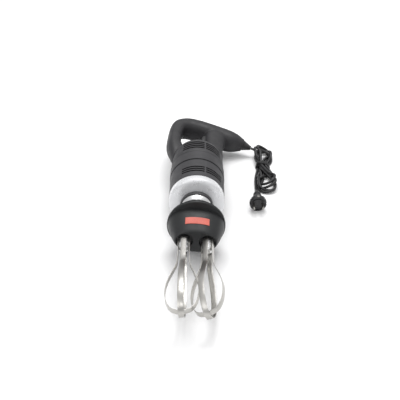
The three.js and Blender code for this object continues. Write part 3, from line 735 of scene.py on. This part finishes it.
piece_from(collar, "locking_collar_ring", BODY, "collar_grey", "locking_collar", "locking_collar", bevel=0.2)
v, f = turned([(21.5, -112.3), (31.0, -112.3), (31.4, -112.7), (29.4, -117.2), (29.0, -118.4), (29, -130.0), (28.4, -130.7), (21.5, -130.7)], 120)
make("coupling_sleeve_ring", v, f, BODY, "turned_steel", "power_unit", "coupling_sleeve", bevel=0.2)

# ------------------------------------------------------------------ grip
LOOP = [
    (-42.5, 48, 15.6, 12), (-43.6, 60, 18, 14.6), (-44.6, 72, 20.4, 17), (-46.4, 84, 21.6, 18.8),
    (-52.6, 98, 18.6, 20.8), (-57.2, 116, 16.4, 22.2), (-58, 137, 15.6, 22.6), (-57, 158, 15.6, 22.8),
    (-54.5, 181, 16.4, 23.4), (-46.8, 204, 18.6, 24.6), (-28, 217.2, 21, 25.6), (-3, 219.3, 21.8, 26), (22, 216, 22, 26),
    (47, 210.8, 22.4, 26), (79, 204, 22.6, 25), (96, 202.6, 19, 21.4), (112, 200.4, 13.7, 14.4), (121, 198.2, 11.4, 12.0)]
STRUT = [
    (34, 78.6, 23.6, 24), (35.6, 100, 23, 23.8), (36.4, 125, 22.4, 23.4), (37.4, 150, 23.2, 23.4), (40, 174, 26, 24), (44, 198, 29, 24)]


def grip_loft(stations, shrink, power=2.55):
    p = catmull(stations, 9)
    tan = np.gradient(p[:, :2], axis=0)
    rings = []
    for (u, yy, rp, rn), t in zip(p, tan):
        t = t / np.linalg.norm(t)
        rings.append(super_ring((u, yy, 0), (t[1], -t[0], 0), (0, 0, 1), rp - shrink, rn - shrink, 56, power))
    return skin(rings)


def remeshed(obj, voxel, smooth):
    m = obj.modifiers.new("voxel", "REMESH")
    m.mode = "VOXEL"
    m.voxel_size = voxel
    m.adaptivity = 0.0
    s = obj.modifiers.new("soft", "SMOOTH")
    s.factor = 0.5
    s.iterations = smooth
    new = evaluated(obj)
    obj.modifiers.clear()
    obj.data = new
    return obj


VOX = 1.15
v1, f1 = grip_loft(LOOP, -0.15)
v2, f2 = grip_loft(STRUT, -0.15)
v3, f3 = turned([(0, 78.4), (52.4, 78.4), (52.8, 79.4), (52.2, 81.6), (49.5, 84.2), (0, 84.4)], 96)
grip = temp("grip_tmp", v1, f1)
cut(grip, [temp("strut_tmp", v2, f2), temp("disc_tmp", v3, f3)], "UNION")
remeshed(grip, VOX, 10)
v, f = turned([(0, 30), (58.6, 30), (58.4, 45), (57.9, 62), (57.1, 69), (55.7, 73.9), (53.4, 77.1), (51, 78.3), (0, 78.3)], 144)
outline_cut = temp("outline_tmp", v, f)
v, f = boxed(0, 60, -60, 60, -60, 60)          # the tail ends square to the strain relief
tail_cut = temp("tail_cut_tmp", v, f)
tail_cut.data.transform(Matrix.Translation((TAIL[0] + boot_dir.x * 1.4, TAIL[1] + boot_dir.y * 1.4, 0)) @ Matrix.Rotation(math.atan2(boot_dir.y, boot_dir.x), 4, "Z"))
v, f = boxed(-8, 31.5, 106.5, 182.4, -12.2, 12.2)
pocket = temp("pocket_tmp", v, f)
b = pocket.modifiers.new("round", "BEVEL")
b.width = 2.2
b.segments = 4
pocket.data = evaluated(pocket)
pocket.modifiers.clear()
v, f = turned([(0, 218), (9.2, 218), (9.2, 229.6), (7.0, 229.8), (7.0, 255), (0, 255)], 40, cx=28)
hole = temp("hole_tmp", v, f)
ring = []
for s in (-20, 8):
    c = Vector((TAIL[0], TAIL[1], 0)) + boot_dir * s
    ring.append(super_ring(c, (-boot_dir.y, boot_dir.x, 0), (0, 0, 1), 8.2, 8.2, 32, 2.0))
v, f = skin(ring)
socket = temp("socket_tmp", v, f)
screws = []
for u, yy in ((-58, 118), (-36, 213.5), (64, 207.5)):
    c1 = super_ring((u, yy, -40), (1, 0, 0), (0, 1, 0), 3.9, 3.9, 28, 2)
    c2 = super_ring((u, yy, -15), (1, 0, 0), (0, 1, 0), 3.9, 3.9, 28, 2)
    v, f = skin([c1, c2])
    screws.append(temp("screw_hole_tmp", v, f))
cut(grip, [outline_cut, tail_cut, pocket, hole, socket, *screws])
for part, sgn in (("upper", 1), ("lower", -1)):
    mesh = grip.data.copy()
    bm = bmesh.new()
    bm.from_mesh(mesh)
    geom = bm.verts[:] + bm.edges[:] + bm.faces[:]
    res = bmesh.ops.bisect_plane(bm, geom=geom, dist=1e-5, plane_co=(0, 0, 0.16 * sgn), plane_no=(0, 0, -sgn), clear_outer=True)
    rim = [e for e in bm.edges if e.is_boundary]
    bmesh.ops.triangle_fill(bm, use_beauty=True, use_dissolve=False, edges=rim, normal=(0, 0, -sgn))
    # vertices on the parting edge are gathered here; they are not moved
    edge_verts = {vv for e in bm.edges if any(abs(x.co.z - 0.16 * sgn) < 1e-3 for x in e.verts) for vv in e.verts if abs(vv.co.z - 0.16 * sgn) < 1e-3}
    bm.to_mesh(mesh)
    bm.free()
    mesh.transform(BODY)
    finish_piece(f"grip_shell_{part}", mesh, "body_black", "power_unit", f"handle_shell_{part}", sharp=45, bevel=0.4, segments=2, angle=58)
drop(grip)

# trigger: a curved paddle with finger ribs
tr = []
cols = catmull([(9.6, 109.4), (7.2, 112.5), (5.9, 118), (5.2, 130), (5.0, 145), (5.2, 160), (6.2, 172), (8.0, 177.6), (10.4, 180.7)], 6)
for u, yy in cols:
    tr.append((u, yy))
halfw = 11.4
verts, faces = [], []
cross = []
for k in range(21):
    a = -math.pi / 2 + math.pi * k / 20
    zz = halfw * math.copysign(abs(math.sin(a)) ** 0.75, math.sin(a))
    cross.append((zz, 3.2 * (1 - math.cos(a))))
for i, (u, yy) in enumerate(tr):
    groove = 0.35 * (0.5 + 0.5 * math.cos(2 * math.pi * yy / 7.5)) if 118 < yy < 172 else 0
    for zz, dx in cross:
        verts.append((u + dx + groove, yy, zz))
    verts.append((21.4, yy, halfw))
    verts.append((21.4, yy, -halfw))
m = len(cross) + 2
for i in range(len(tr) - 1):
    for k in range(m):
        k2 = (k + 1) % m
        faces.append((i * m + k, i * m + k2, (i + 1) * m + k2, (i + 1) * m + k))
faces.append(tuple(range(m)))
faces.append(tuple(range((len(tr) - 1) * m, len(tr) * m)))
mesh = bpy.data.meshes.new("paddle_tmp")
mesh.from_pydata(verts, [], faces)
tidy(mesh)
paddle = bpy.data.objects.new("paddle_tmp", mesh)
scene.collection.objects.link(paddle)
v, f = boxed(16.8, 30, 142.4, 167.6, -5.7, 5.7)      # seat of the return spring
cut(paddle, [temp("seat_tmp", v, f)])
piece_from(paddle, "trigger_paddle", BODY, "trigger_black", "trigger", "trigger", bevel=0.3, angle=45)

v, f = turned([(0, 228.4), (5.7, 228.4), (5.7, 225.2), (8.3, 225.2), (8.3, 227.2), (6.4, 227.6), (6.4, 239.6), (6.0, 240.4), (5.2, 240.9), (3.8, 240.7), (2.6, 240.3), (0, 240.2)], 56, cx=28)
make("lock_button_cap", v, f, BODY, "trigger_black", "lock_button", "lock_button", bevel=0.15)
for i, (u, yy) in enumerate(((-58, 118), (-36, 213.5), (64, 207.5))):
    c = lambda zz, r: super_ring((u, yy, zz), (1, 0, 0), (0, 1, 0), r, r, 36, 2)
    v, f = skin([c(8, 1.6), c(-15.4, 1.6), c(-15.4, 3.4), c(-17.6, 3.5), c(-18.2, 3.0), c(-18.3, 1.9), c(-16.6, 1.8)])
    make(f"grip_screw_{i + 1}", v, f, BODY, "turned_steel", "power_unit", f"handle_screw_{i + 1}")

# ------------------------------------------------------------------ whisk gearbox
v, f = turned([(14, -119), (20.6, -119), (21.2, -119.6), (21.2, -131), (31.0, -131), (32.0, -131.3), (34.6, -132.9), (56.9, -169.4), (57.7, -171.0), (57.7, -171.7), (53.8, -171.7), (30, -139), (14, -139)], 120)
cone = temp("cone_tmp", v, f)
floor_cut(cone, HEAD)
piece_from(cone, "gearbox_back_cone", HEAD, "gearbox_grey", "whisk_head", "gearbox_rear_cone", bevel=0.3)
NOSE = [(-175, 57.2, 42), (-190, 53.6, 38.2), (-208, 48.4, 32.6), (-222.5, 43.2, 27)]


def oval(stations, grow, n=120, power=2.25, per=8):
    p = catmull(stations, per)
    return [super_ring((0, yy, 0), (1, 0, 0), (0, 0, 1), a + grow, b + grow, n, power) for yy, a, b in p]


rings = oval(NOSE, 0) + [super_ring((0, yy, 0), (1, 0, 0), (0, 0, 1), a, b, 120, 2.25) for yy, a, b in
                         ((-224.6, 42.4, 26.1), (-226.2, 41.6, 25.3), (-227.4, 40.6, 24.3), (-228.0, 39.2, 22.9))]
v, f = skin(rings)
nose = temp("nose_tmp", v, f)
v, f = turned([(0, -173.1), (57.2, -173.1), (57.9, -173.7), (58.0, -174.4), (58.0, -175.8), (57.7, -176.6), (57.0, -177.1), (0, -177.3)], 144)
cut(nose, [temp("rim_tmp", v, f)], "UNION")
cav = skin([super_ring((0, yy, 0), (1, 0, 0), (0, 0, 1), a, b, 64, 2.25) for yy, a, b in ((-170, 55.2, 39.8), (-190, 50.4, 35), (-206, 45.6, 29.8), (-214, 42.4, 26.4))])
cutters = [temp("cavity_tmp", *cav)]
for s in (-1, 1):
    cutters.append(temp("recess_tmp", *turned([(0, -240), (17.2, -240), (17.2, -228.3), (16.2, -227.2), (15.9, -226.4), (15.9, -222), (0, -222)], 72, cx=s * 22.4)))
    cutters.append(temp("bore_tmp", *turned([(0, -224), (6, -224), (6, -219.8), (8.3, -219.6), (8.3, -205), (0, -205)], 40, cx=s * 22.4)))
cut(nose, cutters)
floor_cut(nose, HEAD)
piece_from(nose, "gearbox_nose_cover", HEAD, "gearbox_grey", "whisk_head", "gearbox_nose", bevel=0.35, segments=3, sharp=30, angle=32)

# plain label plate that follows the curve of the nose
cols, rows = 36, 14
lab = {}
NS = catmull(NOSE, 16)


def nose_top(x, yy, grow):
    a = np.interp(-yy, -NS[:, 0], NS[:, 1]) + grow
    b = np.interp(-yy, -NS[:, 0], NS[:, 2]) + grow
    return b * (1 - abs(x / a) ** 2.25) ** (1 / 2.25)


verts, faces = [], []
for layer, grow in ((0, 0.35), (1, 1.0)):
    for i in range(cols + 1):
        for j in range(rows + 1):
            x, yy = -23.2 + 46.4 * i / cols, -212.2 + 14.0 * j / rows
            verts.append((x, yy, nose_top(x, yy, grow)))
n1 = (cols + 1) * (rows + 1)
idx = lambda l, i, j: l * n1 + i * (rows + 1) + j
for i in range(cols):
    for j in range(rows):
        faces.append((idx(1, i, j), idx(1, i + 1, j), idx(1, i + 1, j + 1), idx(1, i, j + 1)))
        faces.append((idx(0, i, j), idx(0, i, j + 1), idx(0, i + 1, j + 1), idx(0, i + 1, j)))
for i in range(cols):
    faces.append((idx(0, i, 0), idx(0, i + 1, 0), idx(1, i + 1, 0), idx(1, i, 0)))
    faces.append((idx(0, i, rows), idx(1, i, rows), idx(1, i + 1, rows), idx(0, i + 1, rows)))
for j in range(rows):
    faces.append((idx(0, 0, j), idx(1, 0, j), idx(1, 0, j + 1), idx(0, 0, j + 1)))
    faces.append((idx(0, cols, j), idx(0, cols, j + 1), idx(1, cols, j + 1), idx(1, cols, j)))
make("label_plate_curved", verts, faces, HEAD, "label_red", "whisk_head", "label_plate", bevel=0.2, angle=50)

# ------------------------------------------------------------------ whisks
STRIP_T, STRIP_W = 1.15, 10.4


def strip_line(tip):
    half = [(10.8, -224.6), (10.8, -240), (10.8, -255), (11.0, -275), (11.2, -289), (12.7, -299.5), (18.9, -320), (26, -343), (29.3, -362), (29.4, -382),
            (25.6, -402), (17.5, -416.4), (8.6, tip + 2.4), (0, tip)]
    full = half + [(-a, b) for a, b in half[-2::-1]]
    return catmull(full, 9)


def strip(tip):
    p = strip_line(tip)
    tan = np.gradient(p, axis=0)
    tan /= np.linalg.norm(tan, axis=1)[:, None]
    e, t, w = 0.28, STRIP_T / 2, STRIP_W / 2
    sec = [(-t, -w + e), (-t + e * 0.3, -w + e * 0.3), (-t + e, -w), (t - e, -w), (t - e * 0.3, -w + e * 0.3), (t, -w + e),
           (t, w - e), (t - e * 0.3, w - e * 0.3), (t - e, w), (-t + e, w), (-t + e * 0.3, w - e * 0.3), (-t, w - e)]
    rings = []
    for (x, yy), (tx, ty) in zip(p, tan):
        nx, ny = -ty, tx
        rings.append([(x + nx * a, yy + ny * a, b) for a, b in sec])
    return skin(rings)


for side, s, phase in (("left", -1, 9.0), ("right", 1, 27.5)):
    base = HEAD @ Matrix.Translation((s * 22.4, 0, 0))
    for kind, tip, turn in (("outer", -427.0, 90.0), ("inner", -423.4, 0.0)):
        v, f = strip(tip)
        make(f"{side}_whisk_{kind}_strip", v, f, base @ Matrix.Rotation(-math.radians(phase), 4, "Y") @ Matrix.Rotation(math.radians(turn), 4, "Y"),
             "whisk_steel", f"{side}_whisk", f"whisk_{side}_{kind}_loop", sharp=40)
    v, f = turned([(0, -256), (5.6, -256), (6.6, -255.2), (9.0, -252.6), (9.8, -251.4), (9.8, -243), (9.2, -242.6), (9.2, -240.6), (9.8, -240.2), (9.8, -225.6), (9.3, -225), (4.3, -225), (4.3, -233), (0, -233)], 72)
    make(f"{side}_whisk_hub", v, f, base, "turned_steel", f"{side}_whisk", f"whisk_hub_{side}", bevel=0.15)
    v, f = turned([(4.3, -222.3), (9.2, -222.3), (9.6, -222.6), (9.6, -223.2), (7.4, -223.8), (5.6, -223.4), (4.4, -223.8)], 56)
    make(f"{side}_shaft_seal_lip", v, f, base, "seal_black", "whisk_head", f"shaft_seal_{side}")

# ------------------------------------------------------------------ CAD nodes that stay: finish from their slots
node_slot = {s["node"]: s["material_slot"] for s in frame["record"]["subparts"]}
for name, obj in frame["nodes"].items():
    mat = M.get(node_slot.get(name, ""), M["gear_steel"])
    if obj.type == "MESH":
        if not obj.data.materials:
            obj.data.materials.append(mat)
        for slot_ in obj.material_slots:
            slot_.material = mat

# ------------------------------------------------------------------ floor and light
bpy.ops.mesh.primitive_plane_add(size=14, location=(0, 2.5, -0.0004))
floor = bpy.context.object
floor.name = "studio_floor"
fl = Nodes("studio_floor")
fl.link(fl.ramp(fl.noise(3, 2), [(0.3, (0.93, 0.93, 0.932)), (0.7, (0.945, 0.945, 0.947))]), fl.bsdf.inputs["Base Color"])
fl.bsdf.inputs["Roughness"].default_value = 0.7
fl.bsdf.inputs["Specular IOR Level"].default_value = 0.15
floor.data.materials.append(fl.mat)

world = bpy.data.worlds.new("studio")
scene.world = world
world.use_nodes = True
wn = world.node_tree
wn.nodes.clear()
wo = wn.nodes.new("ShaderNodeOutputWorld")
bg = wn.nodes.new("ShaderNodeBackground")
wn.links.new(bg.outputs[0], wo.inputs[0])
tc = wn.nodes.new("ShaderNodeTexCoord")
sep = wn.nodes.new("ShaderNodeSeparateXYZ")
wn.links.new(tc.outputs["Generated"], sep.inputs[0])
rp = wn.nodes.new("ShaderNodeValToRGB")
rp.color_ramp.elements[0].position = 0.0
rp.color_ramp.elements[0].color = (0.62, 0.62, 0.63, 1)
rp.color_ramp.elements[1].position = 1.0
rp.color_ramp.elements[1].color = (1.0, 1.0, 1.0, 1)
wn.links.new(sep.outputs["Z"], rp.inputs[0])
wn.links.new(rp.outputs[0], bg.inputs[0])
bg.inputs[1].default_value = 0.86


def area(name, loc, look, size, power, size_y=None):
    d = bpy.data.lights.new(name, "AREA")
    d.energy = power
    d.size = size
    if size_y:
        d.shape = "RECTANGLE"
        d.size_y = size_y
    o = bpy.data.objects.new(name, d)
    o.location = Vector(loc)
    o.rotation_euler = (Vector(look) - Vector(loc)).to_track_quat("-Z", "Y").to_euler()
    scene.collection.objects.link(o)
    return o


area("key_top", (0.15, 0.85, 2.1), (0, 0.0, 0), 1.5, 32, 1.2)
area("fill_front", (-1.3, -1.6, 1.5), (0, 0, 0.05), 1.2, 7)
area("front_card", (0.0, -1.5, 1.45), (0, 0, 0.05), 0.7, 3, 0.35)
scene.view_settings.view_transform = "Standard"
scene.view_settings.look = "None"
scene.view_settings.exposure = 0.0

bpy.context.view_layer.update()
